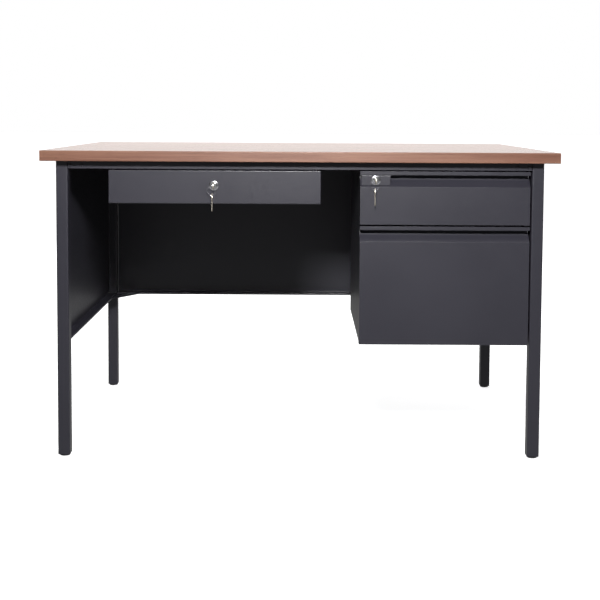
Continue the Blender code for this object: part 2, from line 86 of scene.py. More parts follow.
class Look:
    """A material and the few node helpers that the materials below are written with."""

    def __init__(self, name, roughness, metallic=0.0):
        self.material = bpy.data.materials.new(name)
        self.material.use_nodes = True
        tree = self.material.node_tree
        self.nodes = tree.nodes
        self.links = tree.links
        self.shader = tree.nodes["Principled BSDF"]
        self.shader.inputs["Metallic"].default_value = metallic
        self.shader.inputs["Roughness"].default_value = roughness
        self.place = self.nodes.new("ShaderNodeTexCoord").outputs["Object"]

    def stretched(self, scale, turn=(0.0, 0.0, 0.0), shift=(0.0, 0.0, 0.0)):
        mapping = self.nodes.new("ShaderNodeMapping")
        mapping.inputs["Scale"].default_value = scale
        mapping.inputs["Rotation"].default_value = turn
        mapping.inputs["Location"].default_value = shift
        self.links.new(self.place, mapping.inputs["Vector"])
        return mapping.outputs["Vector"]

    def noise(self, scale, detail=2.0, place=None, distortion=0.0, roughness=0.5):
        node = self.nodes.new("ShaderNodeTexNoise")
        node.inputs["Scale"].default_value = scale
        node.inputs["Detail"].default_value = detail
        node.inputs["Roughness"].default_value = roughness
        node.inputs["Distortion"].default_value = distortion
        self.links.new(place or self.place, node.inputs["Vector"])
        return node.outputs["Fac"]

    def ramp(self, value, stops):
        node = self.nodes.new("ShaderNodeValToRGB")
        node.color_ramp.interpolation = "EASE"
        elements = node.color_ramp.elements
        while len(elements) < len(stops):
            elements.new(0.5)
        for element, (position, colour) in zip(elements, stops):
            element.position = position
            element.color = (*colour, 1.0)
        self.links.new(value, node.inputs["Fac"])
        return node.outputs["Color"]

    def span(self, value, low, high, start=0.3, end=0.7):
        node = self.nodes.new("ShaderNodeMapRange")
        node.inputs["From Min"].default_value = start
        node.inputs["From Max"].default_value = end
        node.inputs["To Min"].default_value = low
        node.inputs["To Max"].default_value = high
        self.links.new(value, node.inputs["Value"])
        return node.outputs["Result"]

    def multiply(self, first, second, share=1.0):
        node = self.nodes.new("ShaderNodeMix")
        node.data_type = "RGBA"
        node.blend_type = "MULTIPLY"
        node.inputs["Factor"].default_value = share
        self.links.new(first, node.inputs["A"])
        self.links.new(second, node.inputs["B"])
        return node.outputs["Result"]

    def colour(self, value):
        self.links.new(value, self.shader.inputs["Base Color"])

    def rough(self, value):
        self.links.new(value, self.shader.inputs["Roughness"])

    def bump(self, height, distance, strength=0.5, under=None):
        node = self.nodes.new("ShaderNodeBump")
        node.inputs["Strength"].default_value = strength
        node.inputs["Distance"].default_value = distance
        self.links.new(height, node.inputs["Height"])
        if under:
            self.links.new(under, node.inputs["Normal"])
        self.links.new(node.outputs["Normal"], self.shader.inputs["Normal"])
        return node.outputs["Normal"]


def powder_coat(name, dark, light):
    """Charcoal powder coat: a fine orange-peel skin and a faint change of shade."""
    look = Look(name, 0.38)
    look.colour(look.ramp(look.noise(5.0, 3.0), [(0.30, dark), (0.70, light)]))
    look.rough(look.span(look.noise(160.0, 2.0), 0.33, 0.39))
    peel = look.bump(look.noise(420.0, 2.0), 0.00007, 0.5)
    look.bump(look.noise(1900.0, 1.0), 0.00003, 0.5, under=peel)
    return look.material


def wood_grain(name, turn, stops, gloss, fine=0.35):
    """Printed wood grain that runs along local X: broad figure, fine streaks and short pores."""
    look = Look(name, 0.32)
    broad = look.noise(1.0, 6.0, look.stretched((1.6, 26.0, 26.0), turn), 0.6, 0.55)
    figure = look.ramp(broad, stops)
    streak_place = look.stretched((5.0, 260.0, 260.0), turn, (3.1, 0.7, 1.9))
    streaks = look.noise(1.0, 4.0, streak_place, 0.1, 0.6)
    light = (1.0, 1.0, 1.0)
    shaded = look.multiply(figure, look.ramp(streaks, [(0.35, (0.74, 0.70, 0.68)), (0.62, light)]), fine)
    pore_place = look.stretched((45.0, 1500.0, 1500.0), turn)
    pores = look.noise(1.0, 2.0, pore_place, 0.0, 0.5)
    look.colour(look.multiply(shaded, look.ramp(pores, [(0.34, (0.55, 0.47, 0.43)), (0.42, light)]), 0.5))
    look.rough(look.span(streaks, gloss, gloss + 0.07))
    look.bump(pores, 0.00004, 0.35)
    return look.material


def bare_metal(name, dark, light, rough_low, rough_high, grain=(900.0, 60.0, 900.0)):
    """Plated metal with faint drawing lines and slightly uneven polish."""
    look = Look(name, (rough_low + rough_high) / 2, 1.0)
    look.colour(look.ramp(look.noise(90.0, 3.0), [(0.30, dark), (0.70, light)]))
    lines = look.noise(1.0, 3.0, look.stretched(grain))
    look.rough(look.span(lines, rough_low, rough_high))
    look.bump(lines, 0.00002, 0.25)
    return look.material


def moulded_nylon(name):
    look = Look(name, 0.5)
    look.colour(look.ramp(look.noise(70.0), [(0.3, (0.012, 0.012, 0.014)), (0.7, (0.022, 0.022, 0.024))]))
    look.rough(look.span(look.noise(300.0), 0.42, 0.58))
    look.bump(look.noise(1500.0), 0.00005, 0.4)
    return look.material


def pressed_board(name):
    """The board's brown backing sheet, seen only from below."""
    look = Look(name, 0.7)
    chips = look.noise(260.0, 4.0)
    look.colour(look.ramp(chips, [(0.35, (0.16, 0.105, 0.07)), (0.65, (0.24, 0.165, 0.11))]))
    look.bump(chips, 0.0001, 0.3)
    return look.material


def floor_with_painted_shade(name):
    """A pale floor that emits less light under the desk than farther out, which paints a soft shade under
    the desk.
    """
    look = Look(name, 0.75)
    look.colour(look.ramp(look.noise(0.8, 3.0), [(0.3, (0.48, 0.48, 0.485)), (0.7, (0.52, 0.52, 0.52))]))
    reach = look.nodes.new("ShaderNodeVectorMath")
    reach.operation = "LENGTH"
    look.links.new(look.place, reach.inputs[0])
    # Painted shade: the floor's emission is weakest within about 0.6 m of its centre, under the desk, and
    # strongest beyond 1.0 m.
    painted_shade_glow = look.span(reach.outputs["Value"], 0.60, 1.0, 0.8, 3.2)
    look.shader.inputs["Emission Color"].default_value = (1.0, 1.0, 1.0, 1.0)
    look.links.new(painted_shade_glow, look.shader.inputs["Emission Strength"])
    return look.material


WOOD = [
    (0.28, (0.092, 0.038, 0.022)),
    (0.45, (0.127, 0.054, 0.033)),
    (0.58, (0.153, 0.071, 0.044)),
    (0.74, (0.188, 0.093, 0.060)),
]
WOOD_TOP = [
    (0.25, (0.170, 0.082, 0.053)),
    (0.45, (0.205, 0.102, 0.067)),
    (0.60, (0.235, 0.121, 0.081)),
    (0.78, (0.270, 0.145, 0.100)),
]
QUARTER = math.radians(90.0)
STEEL = powder_coat("charcoal_powder_coat", (0.0175, 0.0168, 0.0232), (0.0205, 0.0197, 0.0266))
LAMINATE = wood_grain("top_laminate", (0.0, 0.0, 0.0), WOOD_TOP, 0.25, 0.30)
EDGE_ALONG_X = wood_grain("edge_grain_long", (0.0, 0.0, 0.0), WOOD, 0.38, 0.6)
EDGE_ALONG_Y = wood_grain("edge_grain_short", (0.0, 0.0, QUARTER), WOOD, 0.38, 0.6)
BACKER = pressed_board("top_backer")
CHROME = bare_metal("lock_chrome", (0.52, 0.52, 0.55), (0.66, 0.66, 0.68), 0.15, 0.25)
NICKEL = bare_metal("key_nickel", (0.46, 0.42, 0.36), (0.58, 0.53, 0.46), 0.26, 0.38)
ZINC = bare_metal("slide_zinc", (0.50, 0.52, 0.54), (0.62, 0.63, 0.64), 0.30, 0.42)
NYLON = moulded_nylon("foot_nylon")
FLOOR_WITH_PAINTED_SHADE = floor_with_painted_shade("studio_floor")


# Mesh helpers. Every piece keeps the row frame's origin, so its vertices are in place.

def new_piece(name, mesh, look, slot, body, *replaced):
    obj = bpy.data.objects.new(name, mesh)
    bpy.context.scene.collection.objects.link(obj)
    if not obj.data.materials:
        obj.data.materials.append(look)
    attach(obj, body)
    if replaced:
        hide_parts(*replaced)
    return obj


def mesh_of(bm, name):
    mesh = bpy.data.meshes.new(name)
    bm.normal_update()
    bm.to_mesh(mesh)
    bm.free()
    return mesh


def bake(mesh, name, modifiers):
    """Run modifiers on a mesh and return the result, shaded smooth except at sharp edges."""
    obj = bpy.data.objects.new(name + "_draft", mesh)
    bpy.context.scene.collection.objects.link(obj)
    for kind, settings in modifiers:
        modifier = obj.modifiers.new(kind, kind)
        for key, value in settings.items():
            setattr(modifier, key, value)
    graph = bpy.context.evaluated_depsgraph_get()
    made = bpy.data.meshes.new_from_object(obj.evaluated_get(graph))
    bpy.data.objects.remove(obj)
    made.name = name
    made.shade_smooth()
    made.set_sharp_from_angle(angle=SMOOTH_BELOW)
    return made


def even_normals(obj):
    modifier = obj.modifiers.new("even_normals", "WEIGHTED_NORMAL")
    modifier.keep_sharp = True
    return obj


def rounding(width, segments=3, angle=30.0):
    return (
        "BEVEL",
        {
            "width": width,
            "segments": segments,
            "limit_method": "ANGLE",
            "angle_limit": math.radians(angle),
            "harden_normals": False,
        },
    )


def thickness(value, offset=-1.0):
    return ("SOLIDIFY", {"thickness": value, "offset": offset, "use_even_offset": True})


def cut_by(tool):
    return ("BOOLEAN", {"object": tool, "operation": "DIFFERENCE", "solver": "EXACT"})


def cube(low, high):
    bm = bmesh.new()
    bmesh.ops.create_cube(bm, size=1.0)
    size, middle = Vector(high) - Vector(low), (Vector(high) + Vector(low)) / 2
    bmesh.ops.scale(bm, vec=size, verts=bm.verts)
    bmesh.ops.translate(bm, vec=middle, verts=bm.verts)
    return bm


def cylinder(radius, near, far, segments=28):
    """A bmesh cylinder between two points."""
    near, far = Vector(near), Vector(far)
    bm = bmesh.new()
    bmesh.ops.create_cone(
        bm,
        cap_ends=True,
        segments=segments,
        radius1=radius,
        radius2=radius,
        depth=(far - near).length,
    )
    turn = (far - near).to_track_quat("Z", "Y").to_matrix().to_4x4()
    bmesh.ops.transform(bm, matrix=Matrix.Translation((near + far) / 2) @ turn, verts=bm.verts)
    return bm


def tool_from(bm):
    """A cutter for one Boolean, which the caller removes."""
    obj = bpy.data.objects.new("tool", mesh_of(bm, "tool"))
    bpy.context.scene.collection.objects.link(obj)
    return obj


def placed(place, turn):
    return Matrix.Translation(place) @ Euler(turn).to_matrix().to_4x4()


def prism(points, push):
    """A flat outline pushed along a vector into a closed solid."""
    bm = bmesh.new()
    face = bm.faces.new([bm.verts.new(point) for point in points])
    grown = bmesh.ops.extrude_face_region(bm, geom=[face])["geom"]
    far = [item for item in grown if isinstance(item, bmesh.types.BMVert)]
    bmesh.ops.translate(bm, vec=push, verts=far)
    bmesh.ops.recalc_face_normals(bm, faces=bm.faces)
    return bm


def drop(*objects):
    for obj in objects:
        bpy.data.objects.remove(obj)


def point_along(along, across, place):
    if along == "X":
        return Vector((place, across[0], across[1]))
    if along == "Y":
        return Vector((across[0], place, across[1]))
    return Vector((across[0], across[1], place))


def open_strip(profile, along, low, high, outside):
    """A profile run along an axis, as an open surface whose first face looks outside."""
    bm = bmesh.new()
    verts = [bm.verts.new(point_along(along, across, low)) for across in profile]
    edges = [bm.edges.new(pair) for pair in zip(verts, verts[1:])]
    grown = bmesh.ops.extrude_edge_only(bm, edges=edges)["geom"]
    far = [item for item in grown if isinstance(item, bmesh.types.BMVert)]
    bmesh.ops.translate(bm, vec=point_along(along, (0.0, 0.0), high - low), verts=far)
    bm.normal_update()
    if edges[0].link_faces[0].normal.dot(Vector(outside)) < 0.0:
        bmesh.ops.reverse_faces(bm, faces=bm.faces)
    return bm


def bent_sheet(name, profile, along, low, high, outside, look, slot, body, *replaced, gauge=SHEET, holes=()):
    """Folded sheet metal with round bends and softened cut edges."""
    bm = open_strip(profile, along, low, high, outside)
    tools = [tool_from(hole) for hole in holes]
    steps = [rounding(BEND, BEND_STEPS), thickness(gauge)]
    steps += [cut_by(tool) for tool in tools]
    steps.append(rounding(EDGE_ROUND, 2, 60.0))
    mesh = bake(mesh_of(bm, name), name, steps)
    drop(*tools)
    return even_normals(new_piece(name, mesh, look, slot, body, *replaced))


def lathe(profile, steps=48):
    """A bmesh turned about Z from points of radius and height."""
    bm = bmesh.new()
    verts = [bm.verts.new((radius, 0.0, height)) for radius, height in profile]
    edges = [bm.edges.new(pair) for pair in zip(verts, verts[1:])]
    bmesh.ops.spin(
        bm,
        geom=verts + edges,
        cent=(0.0, 0.0, 0.0),
        axis=(0.0, 0.0, 1.0),
        angle=2 * math.pi,
        steps=steps,
        use_merge=True,
        use_duplicate=False,
    )
    bmesh.ops.remove_doubles(bm, verts=bm.verts, dist=0.000001)
    bmesh.ops.recalc_face_normals(bm, faces=bm.faces)
    return bm


def round_profile(points, radius, steps=4):
    """Replace each inner corner of an open outline by a short arc."""
    out = [points[0]]
    for before, corner, after in zip(points, points[1:], points[2:]):
        corner = Vector(corner)
        into = (Vector(before) - corner)
        away = (Vector(after) - corner)
        reach = min(radius, into.length * 0.49, away.length * 0.49)
        start, end = corner + into.normalized() * reach, corner + away.normalized() * reach
        for index in range(steps + 1):
            share = index / steps
            out.append(tuple((1 - share) ** 2 * start + 2 * share * (1 - share) * corner + share**2 * end))
    out.append(points[-1])
    return out


def turned_piece(name, profile, place, turn, look, slot, body, *replaced, steps=48, radius=0.0004):
    bm = lathe(round_profile(profile, radius), steps)
    bmesh.ops.transform(bm, matrix=placed(place, turn), verts=bm.verts)
    mesh = bake(mesh_of(bm, name), name, [])
    return new_piece(name, mesh, look, slot, body, *replaced)


# The top.

def make_top():
    """A board with a laminate skin on its face and a brown backing sheet below it."""
    low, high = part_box("desktop_panel")
    skin = 0.0010
    board = bake(mesh_of(cube(low, high - Vector((0.0, 0.0, skin))), "board"), "desktop_board", [])
    new_piece("desktop_board", board, BACKER, "laminate_top", "frame", "desktop_panel")
    sheet = cube((low.x, low.y, high.z - skin), high)
    mesh = bake(mesh_of(sheet, "desktop_laminate"), "desktop_laminate", [])
    new_piece("desktop_laminate", mesh, LAMINATE, "laminate_top", "frame", "desktop_panel")
    for side in ("front", "rear", "left", "right"):
        make_edge_band(side)


def make_edge_band(side):
    """A thick edge band: its outer corners are eased, and its inner face lies on the board."""
    node = "edge_band_" + side
    low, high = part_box(node)
    panel_low, panel_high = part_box("desktop_panel")
    ease = 0.0018
    bm = cube(low, high)
    axis, sign = {"front": (1, -1), "rear": (1, 1), "left": (0, -1), "right": (0, 1)}[side]
    outer = [
        edge
        for edge in bm.edges
        if all(abs(vert.co[axis] - (high if sign > 0 else low)[axis]) < SAME_PLACE for vert in edge.verts)
        and abs(edge.verts[0].co.z - edge.verts[1].co.z) < SAME_PLACE
    ]
    bmesh.ops.bevel(bm, geom=outer, offset=ease, segments=4, profile=0.5, affect="EDGES")
    inner = (panel_low if sign < 0 else panel_high)[axis]
    for vert in bm.verts:
        if abs(vert.co[axis] - (low if sign > 0 else high)[axis]) < SAME_PLACE:
            vert.co[axis] = inner
    mesh = bake(mesh_of(bm, node), node + "_trim", [rounding(EDGE_ROUND, 2, 60.0)])
    look = EDGE_ALONG_X if axis == 1 else EDGE_ALONG_Y
    even_normals(new_piece(node + "_trim", mesh, look, "wood_edge", "frame", node))


# The frame.

def make_leg(node):
    """A welded square tube with its foot plate, bored for the leveler's stud."""
    low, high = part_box(node)
    bm = cube(low, high)
    upright = [edge for edge in bm.edges if abs(edge.verts[0].co.z - edge.verts[1].co.z) > 0.1]
    bmesh.ops.bevel(bm, geom=upright, offset=LEG_CORNER, segments=7, profile=0.5, affect="EDGES")
    bm.normal_update()
    lid = [face for face in bm.faces if face.normal.z > FACING]
    bmesh.ops.delete(bm, geom=lid, context="FACES_ONLY")
    middle = (low + high) / 2
    x, y = middle.x, middle.y
    bore = tool_from(cylinder(STUD_BORE, (x, y, low.z - 0.01), (x, y, low.z + 0.01)))
    steps = [rounding(0.0008, 2, 60.0), thickness(HEAVY_SHEET), cut_by(bore)]
    mesh = bake(mesh_of(bm, node), node + "_tube", steps)
    drop(bore)
    even_normals(new_piece(node + "_tube", mesh, STEEL, "charcoal_steel", "frame", node))


def make_leveler(node):
    """A nylon foot moulded round a threaded stud."""
    low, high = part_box(node)
    x, y = (low.x + high.x) / 2, (low.y + high.y) / 2
    radius, top = (high.x - low.x) / 2, 0.0042
    foot = [(0.0, top), (radius - 0.0035, top), (radius, top - 0.0022), (radius, 0.0012)]
    foot += [(radius - 0.0012, 0.0), (0.0, 0.0)]
    turned_piece(
        node + "_foot", foot, (x, y, 0.0), (0, 0, 0), NYLON, "foot_nylon", node, node, radius=0.0008
    )
    stud, pitch = 0.0040, 0.00125
    thread = [(0.0, high.z), (stud - 0.0006, high.z)]
    turns = int((high.z - top) / pitch) - 1
    for index in range(turns):
        level = high.z - 0.0004 - index * pitch
        thread += [(stud, level - pitch * 0.25), (stud - 0.0006, level - pitch * 0.75)]
    thread += [(stud - 0.0006, top), (0.0, top)]
    turned_piece(
        node + "_stud", thread, (x, y, 0.0), (0, 0, 0), ZINC, "zinc_slide", node, steps=24, radius=0.0001
    )


def pan_head(name, place, turn, radius, look, slot, body):
    """A cross-recessed screw head that stands on a sheet. Its local +Z points out of the sheet."""
    height = radius * 0.55
    profile = [(0.0, height), (radius * 0.55, height * 0.96), (radius * 0.93, height * 0.6), (radius, 0.0)]
    profile.append((0.0, 0.0))
    bm = lathe(round_profile(profile, radius * 0.3, 3), 28)
    long, wide, floor, over = radius * 0.6, radius * 0.11, height * 0.35, height * 2
    slots = [
        tool_from(cube((-long, -wide, floor), (long, wide, over))),
        tool_from(cube((-wide, -long, floor), (wide, long, over))),
    ]
    mesh = bake(mesh_of(bm, name), name, [cut_by(slot_tool) for slot_tool in slots])
    drop(*slots)
    mesh.transform(placed(place, turn))
    return new_piece(name, mesh, look, slot, body)


TO_FRONT = (QUARTER, 0.0, 0.0)
DOWNWARD = (math.pi, 0.0, 0.0)


def make_rail():
    low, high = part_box("front_rail")
    profile = [(low.y, low.z), (low.y, high.z), (high.y, high.z), (high.y, low.z)]
    bent_sheet(
        "front_rail_sheet", profile, "X", low.x, high.x, (0, -1, 0), STEEL, "charcoal_steel", "frame",
        "front_rail", gauge=HEAVY_SHEET,
    )
    level = low.z + 0.0078
    for side in (-1, 1):
        for index, inset in enumerate((0.0060, 0.0340)):
            x = side * (high.x - inset)
            name = "rail_screw_%s_%d" % ("left" if side < 0 else "right", index + 1)
            pan_head(name, (x, low.y, level), TO_FRONT, 0.0042, STEEL, "charcoal_steel", "frame")


def make_skirt():
    """Side and modesty panels, each with a top flange and a bottom flange that ends in a lip."""
    flange = 0.0053
    low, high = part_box("modesty_panel")
    lip, sheet, top = low.y, high.y - SHEET, high.z - SHEET
    profile = [(lip, low.z), (lip, low.z + flange), (sheet, low.z + flange), (sheet, top), (lip, top)]
    bent_sheet(
        "modesty_sheet", profile, "X", low.x, high.x, (0, -1, 0), STEEL, "charcoal_steel", "frame",
        "modesty_panel",
    )
    for side, node in ((-1, "side_panel_left"), (1, "side_panel_right")):
        low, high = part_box(node)
        lip = high.x if side < 0 else low.x
        sheet = low.x + SHEET if side < 0 else high.x - SHEET
        profile = [(lip, low.z), (lip, low.z + flange), (sheet, low.z + flange), (sheet, top), (lip, top)]
        bent_sheet(
            node + "_sheet", profile, "Y", low.y, high.y, (-side, 0, 0), STEEL, "charcoal_steel", "frame",
            node,
        )
    for name in ("corner_gusset_left", "corner_gusset_right"):
        make_gusset(name)


def make_gusset(node):
    """A triangular tie plate with eased corners, and the two screws that hold it."""
    low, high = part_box(node)
    side = -1 if low.x < 0 else 1
    corner_x = low.x if side < 0 else high.x
    tip_x = high.x if side < 0 else low.x
    corners = ((corner_x, high.y, low.z), (tip_x, high.y, low.z), (corner_x, low.y, low.z))
    bm = prism(corners, (0.0, 0.0, high.z - low.z))
    mesh = bake(mesh_of(bm, node), node + "_plate", [rounding(EDGE_ROUND, 2, 40.0)])
    even_normals(new_piece(node + "_plate", mesh, STEEL, "charcoal_steel", "frame", node))
    for index, (share_x, share_y) in enumerate(((0.22, 0.30), (0.45, 0.12))):
        x = corner_x + (tip_x - corner_x) * share_x
        y = high.y + (low.y - high.y) * share_y
        name = "%s_screw_%d" % (node, index + 1)
        pan_head(name, (x, y, high.z), (0, 0, 0), 0.0038, STEEL, "charcoal_steel", "frame")


# The pedestal's case.

def make_case():
    for side, node in ((-1, "pedestal_side_left"), (1, "pedestal_side_right")):
        low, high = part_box(node)
        wall = low.x if side < 0 else high.x
        fold = high.x if side < 0 else low.x
        profile = [(fold, low.y), (wall, low.y), (wall, high.y)]
        bent_sheet(
            node + "_sheet", profile, "Z", low.z, high.z, (0, -1, 0), STEEL, "charcoal_steel", "frame", node
        )

    low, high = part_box("pedestal_back")
    mesh = bake(mesh_of(cube(low, high), "back"), "pedestal_back_sheet", [rounding(EDGE_ROUND, 2, 60.0)])
    piece = new_piece("pedestal_back_sheet", mesh, STEEL, "charcoal_steel", "frame", "pedestal_back")
    even_normals(piece)

    low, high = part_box("pedestal_bottom")
    profile = [(low.y, high.z), (low.y, low.z), (high.y, low.z), (high.y, high.z)]
    bent_sheet(
        "pedestal_bottom_sheet", profile, "X", low.x, high.x, (0, -1, 0), STEEL, "charcoal_steel", "frame",
        "pedestal_bottom",
    )
    low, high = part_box("pedestal_top_rail")
    profile = [(low.y, high.z), (high.y, high.z), (high.y, low.z)]
    bent_sheet(
        "pedestal_top_rail_sheet", profile, "X", low.x, high.x, (0, 0, 1), STEEL, "charcoal_steel", "frame",
        "pedestal_top_rail", gauge=HEAVY_SHEET,
    )


def make_slide_channel(node, body):
    """A slide member: a rolled channel with holes through its web."""
    low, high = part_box(node)
    left = node.endswith("_left")
    web_first = ("case" in node or "middle" in node) == left
    web, lips = (low.x, high.x) if web_first else (high.x, low.x)
    profile = [(lips, high.z), (web, high.z), (web, low.z), (lips, low.z)]
    level = (low.z + high.z) / 2
    holes = []
    for share in (0.16, 0.34, 0.66, 0.84):
        y = low.y + (high.y - low.y) * share
        holes.append(cylinder(0.0028, (web - 0.004, y, level), (web + 0.004, y, level), 20))
    bent_sheet(
        node + "_channel", profile, "Y", low.y, high.y, (0, 0, 1), ZINC, "zinc_slide", body,
        node, holes=holes,
    )


def make_slides():
    for place in ("_left", "_right"):
        make_slide_channel("box_slide_case" + place, "frame")
        make_slide_channel("box_slide_drawer" + place, "box_drawer")
        make_slide_channel("file_slide_case" + place, "frame")
        make_slide_channel("file_slide_middle" + place, "file_slide_middle")
        make_slide_channel("file_slide_drawer" + place, "file_drawer")


def make_hangers():
    """The folded hooks that carry the center drawer, screwed up into the top."""
    for side, node in ((-1, "center_drawer_hanger_left"), (1, "center_drawer_hanger_right")):
        low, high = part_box(node)
        wall = low.x + SHEET if side < 0 else high.x - SHEET
        inner = high.x if side < 0 else low.x
        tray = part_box("center_drawer_tray")
        hook_x = tray[0].x - 0.0020 if side < 0 else tray[1].x + 0.0020
        bottom, top = low.z + SHEET, high.z - SHEET
        profile = [(hook_x, bottom), (wall, bottom), (wall, top), (inner, top)]
        bent_sheet(
            node + "_sheet", profile, "Y", low.y, high.y, (0, 0, 1), ZINC, "zinc_slide", "frame", node
        )
        for index, share in enumerate((0.1, 0.5, 0.9)):
            y = low.y + (high.y - low.y) * share
            x = (wall + inner) / 2
            name = "%s_screw_%d" % (node, index + 1)
            pan_head(name, (x, y, top), DOWNWARD, 0.0036, ZINC, "zinc_slide", "frame")


# The drawers.

FRONT_BEND = 0.0020


def front_shell(outline, left, right, back):
    """An outline in Y and Z run from left to right, closed at its ends and open at the back."""
    bm = prism([(left, y, z) for y, z in outline], (right - left, 0.0, 0.0))
    last = back - 1e-5
    rear = [face for face in bm.faces if face.normal.y > FACING and face.calc_center_median().y > last]
    bmesh.ops.delete(bm, geom=rear, context="FACES")
    return bm


def ease_edge(bm, y, z, offset):
    """Round the long edge that runs through a point, to a wide radius."""
    edges = [
        edge
        for edge in bm.edges
        if all(abs(vert.co.y - y) < SAME_PLACE and abs(vert.co.z - z) < SAME_PLACE for vert in edge.verts)
    ]
    bmesh.ops.bevel(bm, geom=edges, offset=offset, segments=8, profile=0.5, affect="EDGES")


def make_front(node, body, pull, lock=None):
    low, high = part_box(node)
    if pull:
        ceiling, recess = high.z - PULL_LIP, low.y + PULL_DEPTH
        outline = [
            (high.y, high.z),
            (low.y, high.z),
            (low.y, ceiling),
            (recess, ceiling),
            (recess, ceiling - PULL_BEND),
            (low.y, ceiling - PULL_OPENING),
            (low.y, low.z),
            (high.y, low.z),
        ]
    else:
        outline = [(high.y, high.z), (low.y, high.z), (low.y, low.z), (high.y, low.z)]
    bm = front_shell(outline, low.x, high.x, high.y)
    if pull:
        ease_edge(bm, recess, ceiling - PULL_BEND, SCOOP)
    tools = []
    if lock:
        x, z = lock
        tools.append(tool_from(cylinder(LOCK_HOLE, (x, low.y - 0.02, z), (x, high.y + 0.02, z), 40)))
    steps = [rounding(FRONT_BEND, 6, 20.0), thickness(SHEET)] + [cut_by(tool) for tool in tools]
    mesh = bake(mesh_of(bm, node), node + "_pan", steps)
    drop(*tools)
    even_normals(new_piece(node + "_pan", mesh, STEEL, "charcoal_steel", body, node))


def make_tray(node, body, lock=None):
    """A drawer body: folded and spot-welded sheet with a rolled hem along its upper edge."""
    low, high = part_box(node)
    bm = cube(low, high)
    bm.normal_update()
    lid = [face for face in bm.faces if face.normal.z > FACING]
    bmesh.ops.delete(bm, geom=lid, context="FACES_ONLY")
    tools = []
    if lock:
        x, z = lock
        tools.append(tool_from(cylinder(LOCK_HOLE, (x, low.y - 0.02, z), (x, low.y + 0.02, z), 40)))
    steps = [rounding(0.0018, 4, 40.0), thickness(TRAY_SHEET)] + [cut_by(tool) for tool in tools]
    mesh = bake(mesh_of(bm, node), node + "_sheet", steps)
    drop(*tools)
    even_normals(new_piece(node + "_sheet", mesh, STEEL, "charcoal_steel", body, node))
    make_hem(node, body, low, high)


def make_runners():
    """Angles spot-welded to the center drawer's sides, which slide in the hooks."""
    for side, node in ((-1, "center_drawer_runner_left"), (1, "center_drawer_runner_right")):
        low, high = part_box(node)
        near = low.x + TRAY_SHEET if side > 0 else high.x - TRAY_SHEET
        far = high.x if side > 0 else low.x
        profile = [(near, low.z), (near, high.z - TRAY_SHEET), (far, high.z - TRAY_SHEET)]
        bent_sheet(
            node + "_sheet", profile, "Y", low.y, high.y, (side, 0, 0), STEEL, "charcoal_steel",
            "center_drawer", node, gauge=TRAY_SHEET,
        )


def make_hem(node, body, low, high):
    """The upper edge folded down on itself, inside the tray, as one rounded ring."""
    depth, fold = 0.0080, 0.0011
    inner_low = Vector((low.x + TRAY_SHEET, low.y + TRAY_SHEET, high.z - depth))
    inner_high = Vector((high.x - TRAY_SHEET, high.y - TRAY_SHEET, high.z))
    bm = cube(inner_low, inner_high)
    bm.normal_update()
    caps = [face for face in bm.faces if abs(face.normal.z) > FACING]
    bmesh.ops.delete(bm, geom=caps, context="FACES_ONLY")
    steps = [rounding(0.0015, 3, 40.0), thickness(fold), rounding(0.0004, 2, 60.0)]
    mesh = bake(mesh_of(bm, node + "_hem"), node + "_hem", steps)
    even_normals(new_piece(node + "_hem", mesh, STEEL, "charcoal_steel", body))


def make_lock_plate():
    low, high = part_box("box_lock_plate")
    x, _, z = JOINTS["box_lock_turn"]["pos_m"]
    hole = cylinder(LOCK_HOLE, (x, low.y - 0.01, z), (x, low.y + 0.01, z), 40)
    profile = [(low.y, low.z), (low.y, high.z), (high.y, high.z)]
    bent_sheet(
        "box_lock_plate_sheet", profile, "X", low.x, high.x, (0, -1, 0), STEEL, "charcoal_steel",
        "box_drawer", "box_lock_plate", gauge=HEAVY_SHEET, holes=[hole],
    )


# Locks, keys and rings.

def make_barrel(prefix):
    """The lock's barrel: a polished collar that slopes to a rim, and a threaded body with its nut."""
    node = prefix + "_lock_barrel"
    x, y, z = JOINTS[prefix + "_lock_turn"]["pos_m"]
    low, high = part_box(node)
    front, back = y - low.y, y - high.y
    collar, body, bore = (high.x - low.x) / 2, 0.0095, 0.0065
    profile = [
        (bore, back),
        (bore, front - 0.0006),
        (bore + 0.0006, front),
        (bore + 0.0016, front),
        (collar - 0.0004, 0.0011),
        (collar, 0.0009),
        (collar, 0.0003),
        (body, 0.0003),
    ]
    pitch, start, count = 0.0015, -0.0050, 14
    for index in range(count):
        level = start - index * pitch
        profile += [(body, level), (body - 0.0006, level - pitch / 2)]
    profile += [(body, start - count * pitch), (body, back), (bore, back)]
    turned_piece(
        node + "_turned", profile, (x, y, z), TO_FRONT, CHROME, "lock_chrome", prefix + "_drawer", node,
        steps=64, radius=0.00025,
    )
    nut_y = y + NUT_SETBACK[prefix]
    turn = Matrix.Translation((x, nut_y, z)) @ Matrix.Rotation(QUARTER, 4, "X")
    nut = cylinder(0.0135, (0, 0, -0.0011), (0, 0, 0.0011), 6)
    bmesh.ops.transform(nut, matrix=turn, verts=nut.verts)
    bore_tool = tool_from(cylinder(body + 0.0001, (x, nut_y - 0.01, z), (x, nut_y + 0.01, z), 48))
    mesh = bake(mesh_of(nut, "nut"), prefix + "_barrel_nut", [cut_by(bore_tool), rounding(0.0004, 2, 40.0)])
    drop(bore_tool)
    even_normals(new_piece(prefix + "_barrel_nut", mesh, CHROME, "lock_chrome", prefix + "_drawer"))


